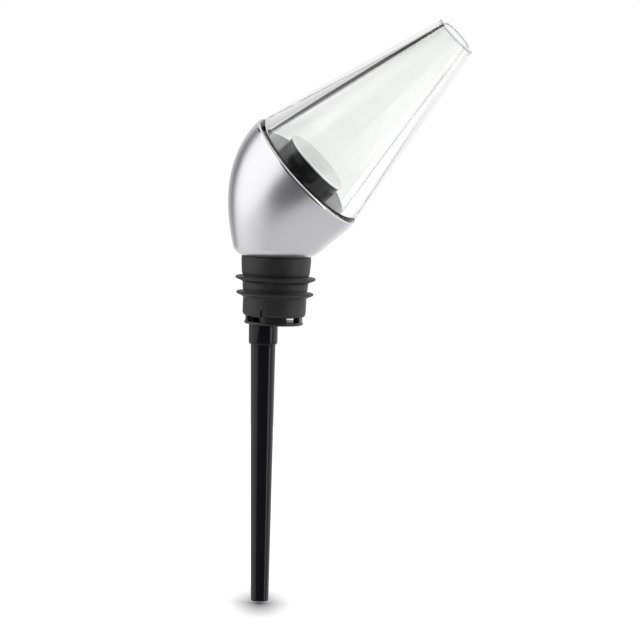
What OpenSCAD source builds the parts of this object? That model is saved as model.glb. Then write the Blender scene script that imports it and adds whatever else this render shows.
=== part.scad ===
// Wine aerator pourer: a stopper with a leaning clear spout over a diffuser, and a long air tube.
// Millimetres. +Z runs up the stopper's axis and the spout leans towards +X.
// The origin is on that axis, at the middle of the plain land that sits in the bottle's neck.

/* [Rubber sleeve] */
// Diameter of the plain land that sits in the bottle's neck
land_d = 18.3; // [17.8:0.1:18.6]
// Length of the plain land
land_l = 5; // [4:0.1:5.6]
// Length of the whole sleeve
sleeve_l = 17.2; // [16:0.1:20]
// Diameter of the sleeve between its fins
waist_d = 18.9; // [18.7:0.1:19.2]
// Diameter of the sleeve where it meets the housing
sleeve_top_d = 20.2; // [19.6:0.1:21]
// Wall of the sleeve at the land
sleeve_wall = 1.85; // [1.5:0.05:2.2]
// Diameter over the lower fin
lower_fin_d = 22.3; // [21:0.1:23]
// Diameter over the upper fin
upper_fin_d = 23.2; // [22:0.1:24]
// Distance between the two fins
fin_pitch = 4.4; // [3.6:0.1:5]
// Thickness of a fin at its root
fin_root = 0.95; // [0.7:0.05:1.2]
// Thickness of a fin at its tip
fin_tip = 0.6; // [0.4:0.05:0.7]
// Rise of a fin's tip over its root
fin_rise = 0.75; // [0.3:0.05:1.2]
// Width of the slot in the sleeve's lower edge
slot_w = 0.5; // [0.3:0.1:1]
// Height of that slot
slot_h = 2; // [1:0.1:2.4]
// Turn of the slot from the -Y side
slot_turn = -12; // [-30:1:0]

/* [Core] */
// Wall of the core's tube
core_wall = 1.7; // [1.5:0.1:2]
// Height of the core above the sleeve, inside the housing's neck
core_up = 7.5; // [6:0.1:9]
// Height of the inlet windows under the sleeve
window_h = 1.6; // [1.2:0.1:2.2]
// Number of inlet windows
window_count = 4; // [3:1:6]
// Width of each window
window_w = 5.8; // [4:0.1:6.2]
// Turn of the ring of windows from the diagonals
window_turn = 10; // [0:1:20]
// Diameter of the bottom plate
plate_d = 17.1; // [16.6:0.1:18]
// Thickness of the bottom plate
plate_t = 0.9; // [0.8:0.1:1.6]

/* [Air path] */
// Distance of the air duct from the stopper's axis, away from the spout
duct_off = 3; // [2.9:0.05:3.1]
// Diameter of the air passage
air_bore = 3; // [2.4:0.1:3.2]
// Wall of the duct and of its nipples
duct_wall = 0.8; // [0.7:0.05:0.9]
// Length of the nipple inside the hose at each end
nipple_l = 3; // [2:0.1:3.4]
// Wall of the hose
hose_wall = 0.8; // [0.6:0.05:1]
// Diameter of the collar at the head of the air tube
collar_d = 8.45; // [8:0.05:9]
// Length of that collar
collar_l = 4.6; // [4.2:0.1:5.4]
// Length of the air tube
tube_l = 80.3; // [60:0.1:110]
// Diameter of the tube under its collar
tube_d = 7.15; // [6.8:0.05:7.6]
// Diameter of the tube at its lower end
tube_end_d = 5.15; // [5:0.05:6.4]
// Lean of the tube towards the stopper's axis
tube_lean = 1.7; // [0:0.1:2]

/* [Housing] */
// Lean of the spout from the stopper's axis
spout_lean = 45.5; // [40:0.5:50]
// Distance of the mouth's centre from the stopper's axis
mouth_x = 8.05; // [7:0.05:9]
// Height of the mouth's centre above the sleeve
mouth_up = 25; // [24.6:0.1:27]
// Radius of the housing at its mouth
mouth_r = 20.2; // [19.9:0.05:20.6]
// Width of the polished bevel round the mouth
bevel_w = 0.35; // [0.2:0.05:0.5]
// Height of that bevel
bevel_h = 0.5; // [0.3:0.05:0.7]
// Width of the rim outside the spigot
rim_w = 1.7; // [1.5:0.05:2]
// Radius of the underside before its edge is rounded
foot_r = 11.5; // [11.3:0.05:12]
// Distance of the underside's centre from the stopper's axis, away from the spout
foot_off = 0.5; // [0.3:0.05:0.8]
// Height of the rounding of the edge round the underside
foot_round = 2.5; // [1.5:0.1:2.6]
// Wall of the housing
shell_wall = 1.8; // [1.4:0.1:2.2]
// Swelling of the lower part of the housing
swell = 4.1; // [3:0.1:5]
// Wall of the socket that takes the core
neck_wall = 1.75; // [1.2:0.05:2]

/* [Spout] */
// Length of the spout above the mouth
spout_l = 59; // [45:0.1:70]
// Outer diameter of the spout at its tip, before the lip's rounding
tip_d = 13; // [12.4:0.1:14]
// Diameter of the bore at the tip
tip_bore = 9; // [8.4:0.1:9.6]
// Length of the spigot inside the mouth
spigot_l = 3; // [2.4:0.1:3.4]
// Wall of the spigot
spigot_wall = 2.9; // [2.5:0.05:3.1]
// Rounding of the outer edge of the lip
lip_r = 0.6; // [0.3:0.05:0.7]
// Rounding of the inner edge of the lip
lip_in_r = 0.3; // [0.2:0.05:0.4]

/* [Diffuser] */
// Diameter of the cap
cap_d = 20; // [19.6:0.1:20.6]
// Height of the cap over the base
cap_h = 3.8; // [3.4:0.1:4.2]
// Wall of the cap
cap_wall = 1.2; // [1:0.1:1.4]
// Number of jets round the cap, one of which is for air
jet_count = 12; // [8:1:14]
// Width of a jet
jet_w = 1.8; // [1.2:0.1:2]
// Height of a jet
jet_h = 1.5; // [1:0.1:2]
// Height of a jet's sill over the base
jet_sill = 0.4; // [0.3:0.05:0.6]
// Distance of the air port from the spout's axis
air_port = 5.5; // [5.2:0.05:5.7]
// Diameter of the wine port
wine_port = 9.2; // [8:0.1:9.4]
// Distance of the wine port from the spout's axis
wine_off = 3; // [2.8:0.05:3.2]
// Thickness of the base under the cap
base_t = 1.6; // [1.2:0.1:2]
// Thickness of the base's flange
flange_t = 1.2; // [1:0.1:1.6]
// Overhang of the baffle disc round the cap
disc_lap = 0.3; // [0.1:0.05:0.5]
// Thickness of the baffle disc at its edge
disc_t = 0.5; // [0.4:0.05:0.8]
// Crown of the baffle disc
disc_crown = 0.35; // [0.1:0.05:0.5]

/* [Seals and clearances] */
// Thickness of the flat ring under the spigot
ring_t = 0.8; // [0.6:0.1:1]
// Width of the round seal on the core
seal_w = 1.4; // [1.2:0.1:1.6]
// Depth of the groove for that seal
seal_deep = 0.8; // [0.7:0.05:0.9]
// Clearance between parts that are pushed together
fit = 0.05; // [0.03:0.01:0.1]
// Clearance round the diffuser base and the spigot
loose = 0.15; // [0.1:0.05:0.25]

/* [Hidden] */
$fn = 96;
tiny = 0.01;

// Heights along the stopper's axis
edge_r = 0.4;
sleeve_end = -land_l / 2 - edge_r;
seat_z = sleeve_end + sleeve_l;
land_top = land_l / 2;
plate_top = sleeve_end - window_h;
plate_end = plate_top - plate_t;
plate_mid = plate_end + plate_t / 2;
core_top = seat_z + core_up;
seal_z = seat_z + core_up / 2;

// Radii shared by the pieces on the stopper's axis
land_r = land_d / 2;
core_r = land_r - sleeve_wall;
core_in = core_r - core_wall;
post_r = land_r - edge_r - 0.5;
post_lap = 0.3;
duct_r = air_bore / 2 + duct_wall;
hose_r = duct_r + hose_wall;
collar_seat = 0.35;

// The spout's frame: its axis meets the mouth's centre, and h is measured up from the mouth's plane
mouth_z = seat_z + mouth_up;
pivot_x = mouth_x + mouth_up / tan(spout_lean);
pivot_far = mouth_up / sin(spout_lean);
spigot_r = mouth_r - rim_w;
bore_r = spigot_r - spigot_wall;
face_r = mouth_r - bevel_w;
base_r = bore_r - loose;
skirt_in = base_r - 1.3;
register_h = 0.3;
boss_w = jet_w + 1.6;
flange_r = spigot_r;
well_r = spigot_r + fit;
flange_top = -spigot_l - ring_t;
ledge_h = flange_top - flange_t;
ledge_w = 2;
cap_r = cap_d / 2;
cap_in = cap_r - cap_wall;
cap_edge = 0.25;
roof_t = 1;
stem_r = 1.5;

// The hose runs up from the duct, turns at a mitre and meets the diffuser's nipple square on
bend_h = (air_port * cos(spout_lean) - duct_off - mouth_x) / sin(spout_lean);
bend_z = mouth_z + air_port * sin(spout_lean) + bend_h * cos(spout_lean);
end_gap = 0.2;

// The housing is lofted through circles in planes that fan out from a line level with its underside
loft_rings = 20;
loft_end_share = 1.02;
loft_sides = 48;
loft_crowding = 1.8;
loft_shift = -1;
round_share = 0.7;
hollow_rings = 9;
hollow_start_share = 0.11;

// Points along an arc in the plane of a profile
function arc(c, r, from, to, n = 6) =
    [for (i = [0:n]) let (a = from + (to - from) * i / n) c + r * [cos(a), sin(a)]];

// A cubic curve through four values
function curve(p, t) =
    pow(1 - t, 3) * p[0] + 3 * t * pow(1 - t, 2) * p[1] + 3 * t * t * (1 - t) * p[2] + pow(t, 3) * p[3];

// Distance of a loft circle's centre from the fan's line, and the circle's radius
function loft_centre(t) =
    curve([pivot_x + foot_off, pivot_x + foot_off + loft_shift, pivot_far, pivot_far], t);
function loft_radius(t) = curve([foot_r, foot_r + swell, mouth_r, mouth_r], t);

// What the rounded edge takes off at a height h over the underside. It takes less on the spout's side,
// where the wall flares, and a is the turn from the other side.
function foot_cut(h, a) = h >= foot_round ? 0 :
    foot_round * (1 - (1 - round_share) * (1 - cos(a)) / 2) * (1 - sqrt(1 - pow(1 - h / foot_round, 2)));

// Wall of the housing, which thickens to the ledge under the mouth
function loft_wall(t) = shell_wall + (mouth_r - well_r + ledge_w - shell_wall) * pow(t, 3);

// A ring of points round the circle at t, whose radius is less by a wall w
function loft_ring(t, w) = [for (j = [0:loft_sides - 1])
    let (
        a = 360 * j / loft_sides,
        p = spout_lean * t,
        r = loft_radius(t) - w,
        h = (loft_centre(t) + r * cos(a)) * sin(p),
        q = r - (w > 0 ? 0 : foot_cut(h, a)),
        d = loft_centre(t) + q * cos(a))
    [pivot_x - d * cos(p), q * sin(a), seat_z + d * sin(p)]];

// A closed solid through rings at the given shares of the fan, each given as [share, wall]
module loft(circles) {
    n = len(circles);
    m = loft_sides;
    polyhedron(
        points = [for (c = circles) each loft_ring(c[0], c[1])],
        faces = concat(
            [[for (j = [0:m - 1]) m - 1 - j]],
            [for (i = [0:n - 2], j = [0:m - 1], k = [0, 1]) let (
                a = i * m + j,
                b = i * m + (j + 1) % m)
                k == 0 ? [a, b, b + m] : [a, b + m, a + m]],
            [[for (j = [0:m - 1]) (n - 1) * m + j]]));
}

module in_spout() {
    translate([mouth_x, 0, mouth_z]) rotate([0, spout_lean, 0]) children();
}

module in_tube() {
    translate([-duct_off, 0, plate_end]) rotate([0, -tube_lean, 0]) children();
}

module tube(r_out, r_in, from, to) {
    difference() {
        translate([0, 0, from]) cylinder(h = to - from, r = r_out);
        translate([0, 0, from - 1]) cylinder(h = to - from + 2, r = r_in);
    }
}

// Profile of one fin, whose lower root edge is at height z on a body of radius r
module fin(r, tip_r, z) {
    sunk = r - 0.5;
    flare = r + 0.35;
    under = z - 0.3;
    over = z + fin_root + 0.5;
    polygon(concat(
        [[sunk, under], [r, under], [flare, z + 0.08]],
        arc([tip_r - fin_tip / 2, z + fin_rise + fin_tip / 2], fin_tip / 2, -75, 105),
        [[flare, over - 0.3], [r, over], [sunk, over]]));
}

module sleeve() {
    shoulder_r = sleeve_top_d / 2 - 0.3;
    color("#1c1c1e") difference() {
        rotate_extrude() {
            polygon(concat(
                [[core_r, seat_z], [core_r, sleeve_end]],
                arc([land_r - edge_r, sleeve_end + edge_r], edge_r, -90, 0),
                [[land_r, land_top], [waist_d / 2, land_top + fin_root],
                [waist_d / 2, land_top + fin_pitch],
                [shoulder_r, land_top + fin_pitch + fin_root],
                [sleeve_top_d / 2, seat_z]]));
            fin(land_r, lower_fin_d / 2, land_top);
            fin(waist_d / 2, upper_fin_d / 2, land_top + fin_pitch);
        }
        rotate([0, 0, slot_turn]) translate([-slot_w / 2, -land_r - 1, sleeve_end - 1])
            cube([slot_w, land_r + 1 - core_r, slot_h + 1]);
    }
}

// The core's wall, with the groove for its seal. It laps the posts a little.
module core_ring() {
    bevel = 0.4;
    groove_r = core_r - seal_deep;
    start = sleeve_end - post_lap;
    rotate_extrude() polygon([[core_in, start], [core_r, start],
        [core_r, seal_z - seal_w / 2], [groove_r, seal_z - seal_w / 2],
        [groove_r, seal_z + seal_w / 2], [core_r, seal_z + seal_w / 2],
        [core_r, core_top - bevel], [core_r - bevel, core_top], [core_in, core_top]]);
}

module core_plate() {
    round_r = plate_t / 2;
    rotate_extrude() polygon(concat(
        [[0, plate_top], [0, plate_end]],
        arc([plate_d / 2 - round_r, plate_mid], round_r, -90, 90)));
}

// Posts that stand on the plate and hold the sleeve up, with the inlet windows between them
module core_posts() {
    difference() {
        tube(post_r, core_in + post_lap, plate_mid, sleeve_end);
        for (i = [0:window_count - 1])
            rotate([0, 0, window_turn + 45 + i * 360 / window_count])
                translate([core_in - 1, -window_w / 2, plate_end])
                    cube([plate_d, window_w, window_h + plate_t + 1]);
    }
}

// Web that ties the air duct to the core's wall
module core_web() {
    web_w = 1.4;
    bite = 0.4;
    drop = 1;
    translate([-core_r + bite, -web_w / 2, plate_mid])
        cube([core_r - duct_off - duct_r, web_w, core_top - drop - plate_mid]);
}

// The duct's bore widens a little where it turns into the leaning nipple
module core() {
    bore_r = air_bore / 2;
    nipple_end = -collar_seat - nipple_l;
    sunk = plate_t / 2;
    color("#161616") difference() {
        union() {
            core_ring();
            core_posts();
            core_plate();
            core_web();
            translate([-duct_off, 0, plate_mid]) cylinder(h = core_top + nipple_l - plate_mid, r = duct_r);
            in_tube() {
                translate([0, 0, -collar_seat]) cylinder(h = collar_seat + sunk, r = collar_d / 2);
                translate([0, 0, nipple_end]) cylinder(h = sunk - nipple_end, r = duct_r);
            }
        }
        translate([-duct_off, 0, plate_mid - 0.2])
            cylinder(h = core_top + nipple_l - plate_end, r = bore_r);
        in_tube() translate([0, 0, nipple_end - 1]) cylinder(h = sunk + 1 - nipple_end, r = bore_r + 0.1);
    }
}

// The seal fills its groove and is squeezed to the housing's socket
module core_seal() {
    side = seal_deep + fit;
    color("#3a3a3c") rotate_extrude() translate([core_r - seal_deep, seal_z]) {
        translate([0, -seal_w / 2 + side / 2]) square([side, seal_w - side]);
        for (s = [-1, 1]) translate([side / 2, s * (seal_w - side) / 2]) circle(r = side / 2);
    }
}

module air_tube() {
    top = -collar_seat;
    foot = top - collar_l;
    end = top - tube_l;
    collar_r = collar_d / 2;
    round_r = 0.6;
    edge = 0.2;
    color("#0d0d0f") in_tube() difference() {
        rotate_extrude() polygon(concat(
            [[0, top], [0, end], [tube_end_d / 2 - edge, end],
            [tube_end_d / 2, end + edge], [tube_d / 2, foot - 0.3], [tube_d / 2 + edge, foot]],
            arc([collar_r - round_r, foot + round_r], round_r, -90, 0),
            arc([collar_r - edge, top - edge], edge, 0, 90, 3)));
        translate([0, 0, end - 1]) cylinder(h = tube_l + 2, r = air_bore / 2);
        translate([0, 0, top - nipple_l - 0.1]) cylinder(h = nipple_l + 1, r = duct_r);
    }
}

// Everything on one side of the plane in which the hose's two straight runs meet
module mitre_side(up) {
    size = 40;
    translate([-duct_off, 0, bend_z]) rotate([0, spout_lean / 2, 0])
        translate([-size / 2, -size / 2, up ? 0 : -size]) cube(size);
}

module air_hose() {
    bore_r = air_bore / 2;
    color("#4a4a4d") {
        difference() {
            translate([-duct_off, 0, 0]) tube(hose_r, bore_r, core_top + end_gap, bend_z + hose_r);
            translate([-duct_off, 0, core_top]) cylinder(h = nipple_l, r = duct_r);
            mitre_side(true);
        }
        difference() {
            in_spout() translate([-air_port, 0, -base_t])
                tube(hose_r, bore_r, bend_h + base_t - hose_r, -end_gap);
            in_spout() translate([-air_port, 0, -base_t - nipple_l]) cylinder(h = nipple_l, r = duct_r);
            mitre_side(false);
        }
    }
}

module housing() {
    color("#b9babc") difference() {
        union() {
            difference() {
                loft([for (i = [0:loft_rings - 1])
                    let (t = loft_end_share * pow(i / (loft_rings - 1), loft_crowding))
                    [t, 0]]);
                loft([for (i = [0:hollow_rings - 1])
                    let (t = hollow_start_share + (1 - hollow_start_share) * i / (hollow_rings - 1))
                    [t, loft_wall(t)]]);
            }
            translate([0, 0, seat_z + foot_round])
                cylinder(h = core_up - foot_round, r = core_r + neck_wall);
        }
        translate([0, 0, seat_z - 1]) cylinder(h = core_up + 2, r = core_r + fit);
        in_spout() mouth_cut();
    }
}

// What is turned away at the mouth: the well for the spigot, the flat face and the bevel round it
module mouth_cut() {
    n = 6;
    low = [face_r + n * bevel_w, -n * bevel_h];
    far = low[0] + n;
    rotate_extrude() polygon([[0, ledge_h], [well_r, ledge_h], [well_r, 0], [face_r, 0],
        low, [far, low[1]], [far, n], [0, n]]);
}

module spout_ring() {
    color("#2b2b2d") in_spout() tube(spigot_r, base_r + fit, flange_top, -spigot_l);
}

module spout() {
    edge = 0.2;
    tip_r = tip_d / 2;
    lip_lean = 12;
    color([0.93, 0.95, 0.96, 0.35]) in_spout() rotate_extrude() polygon(concat(
        [[bore_r, -spigot_l], [spigot_r - edge, -spigot_l], [spigot_r, -spigot_l + edge], [spigot_r, 0],
        [face_r, 0]],
        arc([tip_r - lip_r, spout_l - lip_r], lip_r, lip_lean, 90),
        arc([tip_bore / 2 + lip_in_r, spout_l - lip_in_r], lip_in_r, 90, 180, 3),
        [[bore_r, 0]]));
}

// Ribs under the base, between the ports and the skirt
module base_ribs() {
    rib_w = 1.2;
    rib_h = 2;
    start = cap_in - 0.6;
    for (a = [60, 180, 300]) rotate([0, 0, a]) translate([start, -rib_w / 2, -base_t - rib_h])
        cube([skirt_in - start + tiny, rib_w, rib_h + tiny]);
}

module diffuser_base() {
    color("#141416") in_spout() difference() {
        union() {
            translate([0, 0, -base_t]) cylinder(h = base_t, r = base_r);
            tube(base_r, skirt_in, ledge_h, -base_t + tiny);
            tube(flange_r, skirt_in, ledge_h, flange_top);
            cylinder(h = register_h, r = cap_in - fit);
            base_ribs();
            translate([-air_port, 0, -base_t - nipple_l]) cylinder(h = nipple_l + tiny, r = duct_r);
        }
        translate([wine_off, 0, -base_t - 1]) cylinder(h = base_t + 3, r = wine_port / 2);
        translate([-air_port, 0, -base_t - nipple_l - 1])
            cylinder(h = base_t + nipple_l + 3, r = air_bore / 2);
        translate([-air_port, 0, 0]) cylinder(h = register_h + 1, r = duct_r + fit);
        translate([-cap_in - 1, -boss_w / 2 - fit, 0])
            cube([cap_in + 1 - air_port, boss_w + 2 * fit, register_h + 1]);
    }
}

// The cap rests on the base. Its jets throw the wine outwards, and the one on the upper side takes in air.
module diffuser_cap() {
    inside = cap_h - roof_t;
    bite = 0.3;
    color("#18181a") in_spout() difference() {
        union() {
            difference() {
                rotate_extrude() polygon(concat([[0, 0], [cap_r, 0]],
                    arc([cap_r - cap_edge, cap_h - cap_edge], cap_edge, 0, 90, 4), [[0, cap_h]]));
                translate([0, 0, -1]) cylinder(h = inside + 1, r = cap_in);
            }
            translate([-air_port, 0, tiny]) cylinder(h = inside, r = duct_r);
            translate([-cap_in - bite, -boss_w / 2, tiny]) cube([cap_in + bite - air_port, boss_w, inside]);
        }
        for (i = [0:jet_count - 1]) rotate([0, 0, 180 + i * 360 / jet_count])
            translate([i == 0 ? air_port : cap_in - bite, -jet_w / 2, jet_sill])
                cube([cap_r, jet_w, jet_h]);
        translate([-air_port, 0, -1]) cylinder(h = 1 + jet_sill + jet_h, r = air_bore / 2);
        cylinder(h = cap_h + 1, r = stem_r + fit);
    }
}

// A thin crowned plate on the cap, held by a stem in its roof
module baffle_disc() {
    disc_r = cap_r + disc_lap;
    crown_r = (disc_r * disc_r + disc_crown * disc_crown) / (2 * disc_crown);
    half = asin(disc_r / crown_r);
    foot = cap_h - roof_t;
    color("#c9cacb") in_spout() rotate_extrude() polygon(concat(
        [[0, foot], [stem_r, foot], [stem_r, cap_h], [disc_r, cap_h]],
        arc([0, cap_h + disc_t + disc_crown - crown_r], crown_r, 90 - half, 90, 8)));
}

sleeve();
core();
core_seal();
air_tube();
air_hose();
housing();
spout_ring();
spout();
diffuser_base();
diffuser_cap();
baffle_disc();
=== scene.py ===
import math

import bmesh
import bpy
from mathutils import Matrix, Vector


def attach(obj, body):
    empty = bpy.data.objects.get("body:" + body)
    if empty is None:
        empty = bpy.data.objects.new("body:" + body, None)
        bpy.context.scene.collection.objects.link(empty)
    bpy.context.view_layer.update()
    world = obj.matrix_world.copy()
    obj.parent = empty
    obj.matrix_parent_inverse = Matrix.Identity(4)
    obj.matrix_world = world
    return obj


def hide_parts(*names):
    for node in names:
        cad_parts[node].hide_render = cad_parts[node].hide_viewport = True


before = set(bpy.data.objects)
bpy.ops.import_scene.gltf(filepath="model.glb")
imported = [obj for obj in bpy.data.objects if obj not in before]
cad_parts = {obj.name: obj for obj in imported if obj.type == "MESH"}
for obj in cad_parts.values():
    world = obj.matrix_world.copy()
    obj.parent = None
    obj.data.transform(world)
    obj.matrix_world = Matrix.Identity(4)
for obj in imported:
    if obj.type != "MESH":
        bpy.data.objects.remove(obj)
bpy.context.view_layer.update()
mm = 0.001

# Places that the pieces share, in millimetres, as the part's source has them
seat = {
    "underside": 14.3,       # level underside of the housing
    "sleeveEnd": -2.9,       # lower end of the rubber sleeve
    "plateEnd": -5.4,        # underside of the core's bottom plate
    "coreTop": 21.8,
    "coreRadius": 7.3,
    "ductOff": 3.0,          # air duct's place, away from the spout
    "mouth": (8.05, 0, 39.3),
    "lean": 45.5,
    "tubeLean": 1.7,
}
inSpout = (Matrix.Translation(Vector(seat["mouth"]) * mm)
           @ Matrix.Rotation(math.radians(seat["lean"]), 4, "Y"))
inTube = (Matrix.Translation(Vector((-seat["ductOff"], 0, seat["plateEnd"])) * mm)
          @ Matrix.Rotation(math.radians(-seat["tubeLean"]), 4, "Y"))


# A socket that can be used in sums. A node's settings are set before its sockets.
class Wire:
    def __init__(self, tree, socket=None):
        self.tree = tree
        self.socket = socket

    def node(self, kind, settings=None, sockets=None, out=0):
        made = self.tree.nodes.new(kind)
        for key, value in (settings or {}).items():
            setattr(made, key, value)
        for key, value in (sockets or {}).items():
            if isinstance(value, Wire):
                self.tree.links.new(value.socket, made.inputs[key])
            else:
                made.inputs[key].default_value = value
        return Wire(self.tree, made.outputs[out] if made.outputs else None)

    def math(self, operation, first, second):
        return self.node("ShaderNodeMath", {"operation": operation}, {0: first, 1: second})

    def __add__(self, other):
        return self.math("ADD", self, other)

    def __radd__(self, other):
        return self.math("ADD", other, self)

    def __rsub__(self, other):
        return self.math("SUBTRACT", other, self)

    def __mul__(self, other):
        return self.math("MULTIPLY", self, other)

    def __rmul__(self, other):
        return self.math("MULTIPLY", other, self)

    def __pow__(self, other):
        return self.math("POWER", self, other)


def noise(wires, where, size, detail=3, rough=0.5):   # size is the width of a blotch in millimetres
    return wires.node("ShaderNodeTexNoise", None,
                      {"Vector": where, "Scale": 1 / (size * mm), "Detail": detail, "Roughness": rough},
                      out="Fac")


def between(wires, value, low, high, to=(0, 1)):      # value eased from low..high to the two ends given
    return wires.node("ShaderNodeMapRange", {"interpolation_type": "SMOOTHSTEP"},
                      {"Value": value, "From Min": low, "From Max": high,
                       "To Min": to[0], "To Max": to[1]})


def past(wires, distance, band, to=(0, 1)):           # the same for a distance and a band in millimetres
    return between(wires, distance, band[0] * mm, band[1] * mm, to)


def blend(wires, share, first, second):
    return wires.node("ShaderNodeMix", {"data_type": "RGBA"},
                      {"Factor": share, 6: (*first, 1), 7: (*second, 1)}, out=2)


def mixed(wires, share, first, second):               # share of the second shader in the first
    return wires.node("ShaderNodeMixShader", None, {"Fac": share, 1: first, 2: second})


def bump(wires, height, depth, strength):             # depth in millimetres
    return wires.node("ShaderNodeBump", None,
                      {"Strength": strength, "Distance": depth * mm, "Height": height})


def length(wires, vector):
    return wires.node("ShaderNodeVectorMath", {"operation": "LENGTH"}, {0: vector}, out="Value")


def onSpoutAxis(wires, where):                        # Object coordinates, turned to run up the spout
    return wires.node("ShaderNodeMapping", {"vector_type": "TEXTURE"},
                      {"Vector": where, "Location": tuple(x * mm for x in seat["mouth"]),
                       "Rotation": (0, math.radians(seat["lean"]), 0)})


def heightOnSpout(wires, where):
    return wires.node("ShaderNodeSeparateXYZ", None, {"Vector": onSpoutAxis(wires, where)}, out="Z")


def radiusOnSpout(wires, where):
    flat = wires.node("ShaderNodeVectorMath", {"operation": "MULTIPLY"},
                      {0: onSpoutAxis(wires, where), 1: (1, 1, 0)})
    return length(wires, flat)


# A Principled material. The look's numbers go straight on its sockets, and vary gives what changes over
# the surface.
def finish(name, look, vary):
    material = bpy.data.materials.new(name)
    material.use_nodes = True
    tree = material.node_tree
    shader = next(n for n in tree.nodes if n.type == "BSDF_PRINCIPLED")
    for key, value in look.items():
        shader.inputs[key].default_value = (*value, 1) if isinstance(value, tuple) else value
    wires = Wire(tree)
    where = wires.node("ShaderNodeTexCoord", out="Object")
    for key, wire in vary(wires, where).items():
        tree.links.new(wire.socket, shader.inputs[key])
    return material


# Places where a finish or the painted shade on the spout's lip changes. Heights run up the spout from the
# housing's mouth, and radii out from its axis, in millimetres from where a change begins to where it is
# full.
changes = {
    "cutHeight": (-0.85, -0.75),         # bright cut edge of the housing's mouth
    "cutPolish": 0.7,                    # share of the roughness that is gone there
    "lipHeight": (58.5, 58.6),
    "lipInside": (4.95, 5.1),            # the lip's inner edge is within this
    "lipOutside": (6.05, 6.15),          # and its outer edge beyond this
    "clear": (0.985, 0.992, 0.985),
    # painted shade: the lip's inner and outer edges are tinted dark, in place of the dark lines that
    # refraction draws there
    "paintedShadeAtLip": (0.4, 0.41, 0.41),
}


# Finishes
def satinGrain(wires, where):                         # satin, and bright on the cut edge of the mouth
    grain = noise(wires, where, 0.16, detail=2)
    cloud = noise(wires, where, 9, detail=2)
    bright = past(wires, heightOnSpout(wires, where), changes["cutHeight"])
    return {
        "Roughness": (0.27 + 0.05 * cloud + 0.05 * grain) * (1 - changes["cutPolish"] * bright),
        "Normal": bump(wires, grain, 0.004, 0.5),
    }


def rubberSkin(wires, where):                         # fine tooth, a dull bloom and a little dust
    fine = noise(wires, where, 0.22, detail=4, rough=0.6)
    dust = between(wires, noise(wires, where, 1.1, detail=6, rough=0.7), 0.62, 0.74)
    bloom = noise(wires, where, 5, detail=3)
    pale = dust * 0.5 + bloom * 0.3
    return {
        "Base Color": blend(wires, pale, (0.018, 0.018, 0.019), (0.05, 0.05, 0.052)),
        "Roughness": 0.42 + 0.16 * bloom + 0.1 * dust,
        "Normal": bump(wires, fine, 0.03, 0.35),
    }


def mouldedSkin(wires, where):
    fine = noise(wires, where, 0.3, detail=3)
    cloud = noise(wires, where, 4, detail=2)
    return {
        "Roughness": 0.26 + 0.14 * cloud,
        "Normal": bump(wires, fine, 0.01, 0.25),
    }


def glossySkin(wires, where):                         # gloss with the faint ripple of a long moulding
    cloud = noise(wires, where, 6, detail=2)
    ripple = noise(wires, where, 2.2, detail=1)
    return {
        "Roughness": 0.1 + 0.1 * cloud,
        "Normal": bump(wires, ripple, 0.02, 0.2),
    }


def mirrorSkin(wires, where):
    cloud = noise(wires, where, 5, detail=2)
    return {
        "Roughness": 0.05 + 0.05 * cloud,
        "Normal": bump(wires, cloud, 0.02, 0.1),
    }


def clearSkin(wires, where):                          # polished, with painted shade on the lip's two edges
    cloud = noise(wires, where, 14, detail=2)
    out = radiusOnSpout(wires, where)
    edges = 1 - past(wires, out, changes["lipInside"]) + past(wires, out, changes["lipOutside"])
    atLip = past(wires, heightOnSpout(wires, where), changes["lipHeight"])
    return {
        # the painted shade on the lip's edges goes into the base colour
        "Base Color": blend(wires, edges * atLip, changes["clear"], changes["paintedShadeAtLip"]),
        "Roughness": 0.02 * cloud,
    }


def turnedFace(wires, where):                         # fine rings from the lathe, round the spout's axis
    rings = wires.node("ShaderNodeTexWave", {"wave_type": "RINGS", "rings_direction": "Z"},
                       {"Vector": onSpoutAxis(wires, where), "Scale": 900, "Distortion": 0.4,
                        "Detail": 1.0}, out="Fac")
    return {
        "Roughness": 0.3 + 0.08 * rings,
        "Normal": bump(wires, rings, 0.003, 0.4),
    }


satinSilver = finish("satinSilver", {"Base Color": (0.775, 0.77, 0.795), "Metallic": 1.0}, satinGrain)
blackRubber = finish("blackRubber", {"Specular IOR Level": 0.4}, rubberSkin)
sealRubber = finish("sealRubber", {"Specular IOR Level": 0.35}, rubberSkin)
blackCore = finish("blackCore", {"Base Color": (0.012, 0.012, 0.013)}, mouldedSkin)
glossBlack = finish("glossBlack", {"Base Color": (0.006, 0.006, 0.009), "Specular IOR Level": 0.28},
                    glossySkin)
diffuserBlack = finish("diffuserBlack", {"Base Color": (0.006, 0.006, 0.007), "Specular IOR Level": 0.35},
                       glossySkin)
satinDisc = finish("satinDisc", {"Base Color": (0.92, 0.92, 0.92), "Metallic": 1.0}, turnedFace)
capBlack = finish("capBlack", {"Base Color": (0.004, 0.004, 0.005), "Specular IOR Level": 0.22}, mirrorSkin)
clearSpout = finish("clearSpout", {"Transmission Weight": 1.0, "IOR": 1.49}, clearSkin)

# The outline of clear plastic is paler than glass shows it, so light passes straight through the outer wall
# where that is seen edge-on. The bore does so in part.
outline = {
    "edgeOn": (0.76, 0.81),              # where it begins and is full at the foot: 0 is face-on, 1 edge-on
    "widening": 0.0057,                  # how much sooner it begins for each millimetre up the spout
    "tint": (0.945, 0.945, 0.945),
    "onBore": 0.4,
    "withinWall": (17.0, 17.1),          # a radius between the bore and the outer wall, at the foot
    "taper": 0.2,                        # and how much less it is for each millimetre up
    "end": (57.2, 59.2),
}


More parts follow.
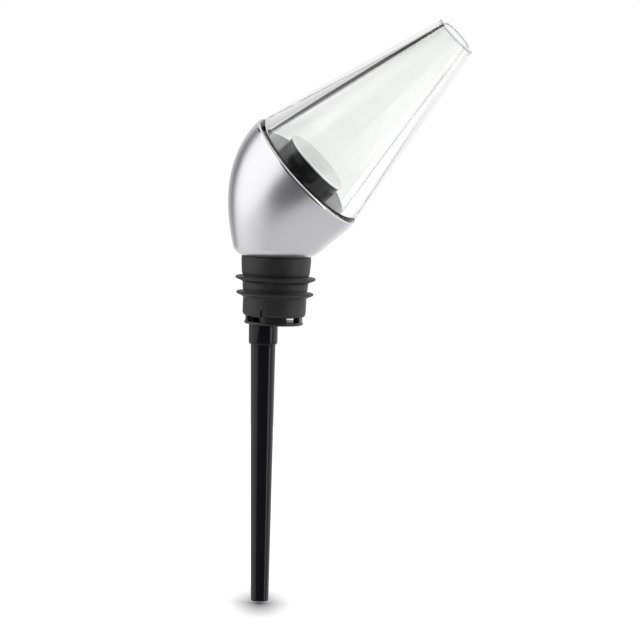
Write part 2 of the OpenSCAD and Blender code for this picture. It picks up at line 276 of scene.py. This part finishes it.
def paleOutline(material, values):
    tree = material.node_tree
    wires = Wire(tree)
    output = next(n for n in tree.nodes if n.type == "OUTPUT_MATERIAL")
    glass = Wire(tree, output.inputs["Surface"].links[0].from_socket)
    straight = wires.node("ShaderNodeBsdfTransparent", None, {"Color": (*values["tint"], 1)})
    where = wires.node("ShaderNodeTexCoord", out="Object")
    height = heightOnSpout(wires, where)
    edgeOn = wires.node("ShaderNodeLayerWeight", None, {"Blend": 0.5}, out="Facing")
    pale = between(wires, edgeOn + height * (values["widening"] / mm), *values["edgeOn"])
    wall = past(wires, radiusOnSpout(wires, where) + height * values["taper"], values["withinWall"],
                (values["onBore"], 1))
    pale = pale * wall * (1 - past(wires, height, values["end"]))
    tree.links.new(mixed(wires, pale, glass, straight).socket, output.inputs["Surface"])


paleOutline(clearSpout, outline)
print("finishes are mixed")


def asPiece(name, bm, material, place, node, soften=35):
    bmesh.ops.remove_doubles(bm, verts=bm.verts[:], dist=1e-7)
    bmesh.ops.recalc_face_normals(bm, faces=bm.faces[:])
    bmesh.ops.transform(bm, matrix=place, verts=bm.verts[:])
    mesh = bpy.data.meshes.new(name)
    bm.to_mesh(mesh)
    bm.free()
    mesh.shade_smooth()
    mesh.set_sharp_from_angle(angle=math.radians(soften))
    mesh.materials.append(material)
    piece = bpy.data.objects.new(name, mesh)
    bpy.context.scene.collection.objects.link(piece)
    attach(piece, "root")
    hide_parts(node)
    return piece


# Turns a profile of (radius, height, rounding) about Z. A closed profile is a ring, and an open one starts
# and ends on Z.
def turned(profile, closed, steps=128, segments=4):
    bm = bmesh.new()
    corners = [bm.verts.new((r * mm, 0, z * mm)) for r, z, _ in profile]
    for a, b in zip(corners, corners[1:] + (corners[:1] if closed else [])):
        bm.edges.new((a, b))
    for corner, (_, _, rounding) in zip(corners, profile):
        if rounding:
            bmesh.ops.bevel(bm, geom=[corner], offset=rounding * mm, offset_type="OFFSET",
                            affect="VERTICES", segments=segments, profile=0.5, material=-1)
    bmesh.ops.spin(bm, geom=bm.verts[:] + bm.edges[:], cent=(0, 0, 0), axis=(0, 0, 1), dvec=(0, 0, 0),
                   angle=math.tau, steps=steps, use_merge=True, use_duplicate=False)
    return bm


# Cuts boxes out of a piece. Each box is a cube one metre wide, placed and sized by a matrix.
def carve(piece, boxes, soften=35):
    bm = bmesh.new()
    for place in boxes:
        bmesh.ops.create_cube(bm, size=1, matrix=place)
    mesh = bpy.data.meshes.new("cutter")
    bm.to_mesh(mesh)
    bm.free()
    cutter = bpy.data.objects.new("cutter", mesh)
    bpy.context.scene.collection.objects.link(cutter)
    cut = piece.modifiers.new("cut", "BOOLEAN")
    cut.operation = "DIFFERENCE"
    cut.object = cutter
    cut.solver = "EXACT"
    solved = bpy.data.meshes.new_from_object(piece.evaluated_get(bpy.context.evaluated_depsgraph_get()))
    solved.set_sharp_from_angle(angle=math.radians(soften))
    piece.modifiers.clear()
    piece.data = solved
    bpy.data.objects.remove(cutter)


# Camera
camera = {
    "distance": 2.0,             # in metres
    "azimuth": 12.0,
    "elevation": 5.0,
    "roll": 2.5,                 # the object leans this much to the right in the picture
    "width": 184.6,              # what the picture takes in, side to side
    "middle": (12.55, -18.46),   # picture's middle, right of and above the stopper's axis at the underside
    "sensor": 36.0,
    "reach": (0.05, 20.0),       # nearest and furthest that it sees, in metres
}


def makeCamera(values):
    a, e, roll = (math.radians(values[k]) for k in ("azimuth", "elevation", "roll"))
    back = Vector((math.sin(a) * math.cos(e), -math.cos(a) * math.cos(e), math.sin(e)))
    level = Vector((math.cos(a), math.sin(a), 0))
    above = back.cross(level)
    right = level * math.cos(roll) + above * math.sin(roll)
    up = above * math.cos(roll) - level * math.sin(roll)
    x, y = values["middle"]
    aim = (Vector((0, 0, seat["underside"])) + right * x + up * y) * mm
    data = bpy.data.cameras.new("camera")
    data.sensor_width = values["sensor"]
    data.lens = values["sensor"] * values["distance"] / (values["width"] * mm)
    data.clip_start, data.clip_end = values["reach"]
    made = bpy.data.objects.new("camera", data)
    turn = Matrix((right, up, back)).transposed().to_4x4()
    made.matrix_world = Matrix.Translation(aim + back * values["distance"]) @ turn
    bpy.context.scene.collection.objects.link(made)
    bpy.context.scene.camera = made


makeCamera(camera)
print("camera is placed")

# Housing. Its rings are in planes that fan out from one line, from the underside at 0 to the mouth at 1.
housing = {
    "footRadius": 11.5,          # of the underside, before its edge is rounded
    "footOff": 0.5,              # underside's centre, away from the spout
    "footRound": 2.5,            # height of the rounding
    "roundShare": 0.7,           # how much of it is left on the spout's side
    "mouthRadius": 20.2,
    "bevelWidth": 0.35,
    "bevelHeight": 0.75,
    "bevelSteps": 6,
    "swell": 4.1,                # how far the side bulges
    "shift": -1.0,               # and which way its middle is drawn
    "wall": 1.8,
    "wellRadius": 18.55,         # the spout's spigot sits in it
    "wellEdge": 0.1,
    "ledgeHeight": -5.0,         # the diffuser stands on it
    "ledgeWidth": 2.0,
    "neckRadius": 9.05,
    "neckTop": 3.6,              # above the underside
    "socketRadius": 7.35,        # the core sits in it
    "socketEdge": 0.2,
    "outerEnd": 0.955,           # last of the side's rings
    "crowding": 1.9,             # how much closer together they are towards the underside
    "outerRings": 52,
    "innerEnds": (0.9, 0.11),
    "innerRings": 9,
    "sides": 144,
}


def curve(values, t):
    a, b, c, d = values
    return (1 - t) ** 3 * a + 3 * t * (1 - t) ** 2 * b + 3 * t * t * (1 - t) * c + t ** 3 * d


def makeHousing(values):
    up = seat["mouth"][2] - seat["underside"]
    lean = math.radians(seat["lean"])
    pivotX = seat["mouth"][0] + up / math.tan(lean)
    pivotFar = up / math.sin(lean)
    start = pivotX + values["footOff"]
    rim = values["mouthRadius"]
    foot = values["footRadius"]

    def centre(t):
        return curve((start, start + values["shift"], pivotFar, pivotFar), t)

    def radius(t):
        return curve((foot, foot + values["swell"], rim, rim), t)

    def fanned(t, r):                                  # a circle in one of the planes
        turn = lean * t
        out = Vector((-math.cos(turn), 0, math.sin(turn)))
        across = Vector((0, 1, 0))
        axes = Matrix((out, across, out.cross(across))).transposed().to_4x4()
        middle = Vector((pivotX, 0, seat["underside"])) + out * centre(t)
        return Matrix.Translation(middle * mm) @ axes, r

    def level(z, r):
        return Matrix.Translation((0, 0, z * mm)) @ Matrix.Diagonal((-1, 1, -1, 1)), r

    def atMouth(h, r):
        return fanned(1, r)[0] @ Matrix.Translation((0, 0, -h * mm)), r

    def rounded(t, vert):                              # draws a vertex near the underside inwards
        height = vert.co.z / mm - seat["underside"]
        if height >= values["footRound"]:
            return
        away = (vert.co - fanned(t, 0)[0].translation).normalized()
        towardsSpout = Vector((math.cos(lean * t), 0, -math.sin(lean * t)))
        onSpoutSide = (1 + away.dot(towardsSpout)) / 2
        share = 1 - (1 - values["roundShare"]) * onSpoutSide
        drop = 1 - max(height, 0) / values["footRound"]
        vert.co -= away * values["footRound"] * share * (1 - math.sqrt(1 - drop ** 2)) * mm

    wide, high = values["bevelWidth"], values["bevelHeight"]
    well, ledge = values["wellRadius"], values["ledgeHeight"]
    socket, edge = values["socketRadius"], values["socketEdge"]
    thicker = rim - well + values["ledgeWidth"] - values["wall"]
    last = values["outerRings"] - 1
    outer = [values["outerEnd"] * (i / last) ** values["crowding"] for i in range(values["outerRings"])]
    begin, end = values["innerEnds"]
    inner = [begin + (end - begin) * i / (values["innerRings"] - 1) for i in range(values["innerRings"])]
    quarter = [math.pi / 2 * k / values["bevelSteps"] for k in range(values["bevelSteps"] + 1)]
    rings = [fanned(t, radius(t)) for t in outer]
    rings += [atMouth(-high * (1 - math.sin(a)), rim - wide * (1 - math.cos(a))) for a in quarter]
    rings += [atMouth(0, well + values["wellEdge"]), atMouth(-values["wellEdge"], well),
              atMouth(ledge, well), atMouth(ledge, well - values["ledgeWidth"])]
    rings += [fanned(t, radius(t) - values["wall"] - thicker * t ** 3) for t in inner]
    rings += [level(seat["underside"] + values["neckTop"], values["neckRadius"]),
              level(seat["coreTop"], values["neckRadius"]), level(seat["coreTop"], socket),
              level(seat["underside"] + edge, socket), level(seat["underside"], socket + edge)]
    bm = bmesh.new()
    loops = []
    for i, (place, r) in enumerate(rings):
        made = bmesh.ops.create_circle(bm, cap_ends=False, segments=values["sides"], radius=r * mm,
                                       matrix=place)
        if i < len(outer):
            for vert in made["verts"]:
                rounded(outer[i], vert)
        loops.append(list({e for v in made["verts"] for e in v.link_edges}))
    for a, b in zip(loops, loops[1:] + loops[:1]):
        bmesh.ops.bridge_loops(bm, edges=a + b)
    return asPiece("housingShell", bm, satinSilver, Matrix.Identity(4), "housing", soften=30)


makeHousing(housing)
print("housing is lofted")

# Clear spout
spout = {
    "length": 59.0,
    "foot": 19.85,
    "footBore": 15.6,
    "tip": 6.5,
    "tipBore": 4.5,
    "lipDraw": 0.1,              # the lip's outer edge is this far in
    "lipDrop": 0.05,             # and this far down
    "lipOutside": 0.42,          # roundings of its two edges
    "lipInside": 0.4,
    "throat": 1.5,               # rounding at the foot of the bore
    "spigot": 18.5,
    "spigotLength": 3.0,
}


def makeSpout(values):
    profile = [
        (values["footBore"], -values["spigotLength"], 0.15),
        (values["spigot"], -values["spigotLength"], 0.2),
        (values["spigot"], 0, 0),
        (values["foot"], 0, 0.12),
        (values["tip"] - values["lipDraw"], values["length"] - values["lipDrop"], values["lipOutside"]),
        (values["tipBore"], values["length"], values["lipInside"]),
        (values["footBore"], 0, values["throat"]),
    ]
    bm = turned(profile, True, steps=192, segments=5)
    return asPiece("spoutCone", bm, clearSpout, inSpout, "spout", soften=24)


makeSpout(spout)
print("spout is turned")

# Rubber sleeve
sleeve = {
    "land": 9.15,
    "landTop": 2.5,
    "waist": 9.45,
    "top": 10.1,
    "lowerFin": 11.15,
    "upperFin": 11.6,
    "pitch": 4.4,                # from one fin to the next
    "root": 0.95,                # a fin's height where it meets the sleeve
    "rise": 0.75,                # how far its tip is turned up
    "finTip": 0.6,
    "shoulder": 2.6,             # a fin's place, up to the body above it
    "play": 0.02,                # under the housing
    "slotWidth": 0.5,
    "slotHeight": 2.0,
    "slotTurn": -12.0,
}


def makeSleeve(values):
    def fin(r, tip, z):                                # under, tip and top of one fin
        half = values["finTip"] / 2
        lift = z + values["rise"]
        return [(r, z - 0.25, 0.2), (r + 0.5, z + 0.1, 0.1), (tip - 0.1, lift, 0.12),
                (tip + 0.02, lift + half, 0.1), (tip - 0.12, lift + 2 * half, 0.12),
                (r + 0.4, z + values["root"] + 0.25, 0.15), (r, z + values["root"] + 0.55, 0.15)]

    land, waist, top = values["land"], values["waist"], values["top"]
    lower = values["landTop"]
    upper = lower + values["pitch"]
    start, end = seat["sleeveEnd"], seat["underside"] - values["play"]
    profile = [(seat["coreRadius"], start, 0.1), (land - 0.3, start, 0.25), (land, start + 0.9, 0.3)]
    profile += fin(land, values["lowerFin"], lower)
    profile += [(waist, lower + values["shoulder"], 0.3)]
    profile += fin(waist, values["upperFin"], upper)
    profile += [(top - 0.25, upper + values["shoulder"], 0.4), (top, seat["underside"] - 0.9, 0.3),
                (top - 0.12, end, 0.08), (seat["coreRadius"], end, 0)]
    bm = turned(profile, True, steps=160, segments=3)
    piece = asPiece("rubberSleeve", bm, blackRubber, Matrix.Identity(4), "sleeve", soften=40)
    deep = land - seat["coreRadius"] + 1.5             # through the wall, and clear of both its faces
    tall = values["slotHeight"] * 2 - 1                # from below the lower end
    slot = (Matrix.Rotation(math.radians(values["slotTurn"]), 4, "Z")
            @ Matrix.Translation((0, -(seat["coreRadius"] + deep / 2 + 0.2) * mm, (start + 0.5) * mm))
            @ Matrix.Diagonal((values["slotWidth"] * mm, deep * mm, tall * mm, 1)))
    carve(piece, [slot], soften=40)


makeSleeve(sleeve)
print("sleeve is turned")

# Air tube
airTube = {
    "collar": 4.225,
    "collarLength": 5.6,
    "length": 80.3,
    "upper": 3.575,              # radius below the collar
    "lower": 2.575,              # and at the tip
    "bore": 1.5,
    "socket": 2.3,               # pushed over the core's nipple
    "nipple": 3.1,
    "seat": 0.35,                # gap below the core's plate
}


def makeAirTube(values):
    top = -values["seat"]
    foot = top - values["collarLength"]
    end = top - values["length"]
    profile = [
        (values["socket"], top, 0.1),
        (values["collar"], top, 0.2),
        (values["collar"] - 0.05, foot, 0.6),
        (values["upper"] + 0.12, foot - 0.05, 0.08),
        (values["upper"], foot - 0.4, 0.2),
        (values["lower"], end + 0.1, 0.25),
        (values["lower"] - 0.3, end, 0.15),
        (values["bore"], end, 0.15),
        (values["bore"], top - values["nipple"], 0),
        (values["socket"], top - values["nipple"], 0),
    ]
    bm = turned(profile, True, steps=96, segments=4)
    return asPiece("airTubeShell", bm, glossBlack, inTube, "air_tube", soften=40)


makeAirTube(airTube)
print("air tube is turned")

# Diffuser cap
cap = {
    "radius": 10.0,
    "height": 3.8,
    "wall": 1.2,
    "roof": 1.0,
    "stemHole": 1.55,
    "edge": 0.25,                # rounding of its upper edge
    "jets": 12,
    "jetWidth": 1.8,
    "jetHeight": 1.5,
    "sill": 0.4,                 # below each jet
}


def makeCap(values):
    r, h, hole = values["radius"], values["height"], values["stemHole"]
    inside, under = r - values["wall"], h - values["roof"]
    profile = [(r, 0, 0.08), (r, h, values["edge"]), (hole, h, 0.05), (hole, under, 0),
               (inside, under, 0.3), (inside, 0, 0.05)]
    bm = turned(profile, True, steps=144, segments=4)
    piece = asPiece("diffuserCap", bm, capBlack, inSpout, "diffuser_cap")
    middle = Matrix.Translation(((r - values["wall"] / 2) * mm, 0,
                                 (values["sill"] + values["jetHeight"] / 2) * mm))
    size = Matrix.Diagonal((values["wall"] * 2 * mm, values["jetWidth"] * mm, values["jetHeight"] * mm, 1))
    turns = [Matrix.Rotation(math.tau * i / values["jets"], 4, "Z") for i in range(values["jets"])]
    carve(piece, [inSpout @ turn @ middle @ size for turn in turns])


makeCap(cap)
print("diffuser cap is turned")

# Baffle disc
baffle = {
    "radius": 10.3,
    "under": 3.8,                # its underside lies on the cap
    "thick": 0.5,
    "edge": 0.3,                 # rounding of its upper edge
    "crown": 0.35,
    "crownSteps": (0.85, 0.7, 0.55, 0.4, 0.25, 0.1),
    "stem": 1.5,
    "stemEnd": 2.8,
}


def makeBaffle(values):
    under, rim, stem = values["under"], values["radius"], values["stem"]
    top = under + values["thick"]
    crown = [(rim * s, top + values["crown"] * (1 - s * s), 0) for s in values["crownSteps"]]
    profile = [(0, values["stemEnd"], 0), (stem, values["stemEnd"], 0.1), (stem, under, 0),
               (rim, under, 0.1), (rim, top, values["edge"])] + crown + [(0, top + values["crown"], 0)]
    bm = turned(profile, False, steps=128, segments=3)
    return asPiece("baffleFace", bm, satinDisc, inSpout, "baffle_disc", soften=30)


makeBaffle(baffle)
print("baffle disc is turned")

# Finishes of the solids that are shown as they are
carried = {
    "core": blackCore,
    "core_seal": sealRubber,
    "air_hose": sealRubber,
    "spout_ring": sealRubber,
    "diffuser_base": diffuserBlack,
}
for node, material in carried.items():
    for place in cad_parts[node].material_slots:
        place.material = material
print("carried solids have their finishes")

# Floor
floor = {
    "radius": 500.0,
    "below": 86.7,
    "shade": (0.8, 0.8, 0.8),
    "seen": 0.42,                # light added so that the camera sees it white
    "through": 0.36,             # and through the clear spout, behind the part
    "fade": (-60.0, 60.0),       # from front to back, where that second light comes up
    "tip": (-0.6, 0),            # where the tube all but touches it
    "paintedShadow": 0.83,              # painted soft shadow there, at its deepest
    "paintedShadowAcross": 12.0,
    "paintedShadowAlong": 50.0,
    "paintedShadowFall": 1.5,           # how fast it fades at first
}


def makeFloor(values):
    down = -values["below"] * mm
    bm = bmesh.new()
    bmesh.ops.create_circle(bm, cap_ends=True, segments=96, radius=values["radius"] * mm,
                            matrix=Matrix.Translation((0, 0, down)))
    mesh = bpy.data.meshes.new("floor")
    bm.to_mesh(mesh)
    bm.free()
    made = bpy.data.objects.new("floor", mesh)
    bpy.context.scene.collection.objects.link(made)
    material = bpy.data.materials.new("paleFloor")
    material.use_nodes = True
    tree = material.node_tree
    tree.nodes.clear()
    wires = Wire(tree)

    def glow(strength):
        return wires.node("ShaderNodeEmission", None, {"Color": (1, 1, 1, 1), "Strength": strength})

    where = wires.node("ShaderNodeTexCoord", out="Object")
    seen = wires.node("ShaderNodeLightPath", out="Is Camera Ray")
    bounced = wires.node("ShaderNodeLightPath", out="Is Diffuse Ray")
    plain = wires.node("ShaderNodeBsdfDiffuse", None, {"Color": (*values["shade"], 1)})
    dark = wires.node("ShaderNodeBsdfDiffuse", None, {"Color": (0, 0, 0, 1)})
    away = wires.node("ShaderNodeSeparateXYZ", None, {"Vector": where}, out="Y")
    through = mixed(wires, past(wires, away, values["fade"]), dark, glow(values["through"]))
    added = mixed(wires, seen, through, glow(values["seen"]))
    lit = wires.node("ShaderNodeAddShader", None, {0: plain, 1: added})
    x, y = values["tip"]
    # Painted shadow: a soft dark patch round the tube's tip, drawn out along the camera's azimuth and mixed
    # into the floor's shader
    spot = wires.node("ShaderNodeMapping", {"vector_type": "TEXTURE"},
                      {"Vector": where, "Location": (x * mm, y * mm, down),
                       "Rotation": (0, 0, math.radians(camera["azimuth"])),
                       "Scale": (values["paintedShadowAcross"] * mm, values["paintedShadowAlong"] * mm, 1)})
    near = wires.math("MAXIMUM", 1 - length(wires, spot), 0)
    paintedShadow = values["paintedShadow"] * near ** values["paintedShadowFall"]
    wires.node("ShaderNodeOutputMaterial", None,
               {"Surface": mixed(wires, paintedShadow, mixed(wires, bounced, lit, plain), dark)})
    mesh.materials.append(material)
    made.visible_glossy = False                        # the metal reflects the studio, and not the floor


# Studio light: a grey surround with soft patches of light and shade. Each patch has its azimuth, its
# elevation, how far it is drawn out upwards, the angles at which it is full and gone, and its level.
# Azimuth 0 is the viewer's side, and 90 is to the right. A later patch lies over an earlier one.
studio = {
    "surround": 0.68,
    "patches": [
        (-95, -45, 1.0, 30, 55, 0.8),          # left part of the table
        (-72, 14, 1.3, 44, 52, 1.28),          # large soft light at the left, reaching round to the front
        (75, 40, 1.0, 30, 44, 1.2),            # a smaller one high at the right
        (128, 15, 1.0, 27, 38, 1.2),           # reaching round behind
        (118, 44, 1.0, 16, 28, 2.0),           # with its brightest part above
        (175, 62, 1.0, 22, 40, 1.0),           # one overhead, behind the part
        (-178, -12, 1.0, 4, 34, 1.02),         # backdrop
        (-152, 14, 1.0, 6, 15, 0.78),          # its darker left end
        (-123.5, 16, 0.3, 10.5, 12.5, 0.02),   # gap between the backdrop and the left light
        (-8, -19, 1.6, 25, 34, 0.12),          # dark room in front, low down
        (10, 15, 1.0, 28, 38, 0.1),            # higher up
        (42, -8, 1.0, 30, 37, 0.1),            # and to the right
        (78, 4, 0.3, 6, 9, 3.0),               # narrow upright light at the right
    ],
}


def makeStudio(values):
    world = bpy.data.worlds.new("studio")
    bpy.context.scene.world = world
    world.use_nodes = True
    tree = world.node_tree
    tree.nodes.clear()
    wires = Wire(tree)
    way = wires.node("ShaderNodeTexCoord", out="Generated")
    level = values["surround"]
    for azimuth, elevation, tall, full, gone, patch in values["patches"]:
        a, e = math.radians(azimuth), math.radians(elevation)
        towards = Vector((math.sin(a) * math.cos(e), -math.cos(a) * math.cos(e), math.sin(e) * tall))
        squat = wires.node("ShaderNodeVectorMath", {"operation": "MULTIPLY"}, {0: way, 1: (1, 1, tall)})
        squat = wires.node("ShaderNodeVectorMath", {"operation": "NORMALIZE"}, {0: squat})
        facing = wires.node("ShaderNodeVectorMath", {"operation": "DOT_PRODUCT"},
                            {0: squat, 1: towards.normalized()}, out="Value")
        share = between(wires, facing, math.cos(math.radians(gone)), math.cos(math.radians(full)))
        level = share * patch + (1 - share) * level
    seen = wires.node("ShaderNodeLightPath", out="Is Camera Ray")
    level = seen + (1 - seen) * level                  # plain white behind the part
    light = wires.node("ShaderNodeBackground", None, {"Color": (1, 1, 1, 1), "Strength": level})
    wires.node("ShaderNodeOutputWorld", None, {"Surface": light})


makeFloor(floor)
makeStudio(studio)
bpy.context.scene.view_settings.view_transform = "Standard"
print("floor and light are set")
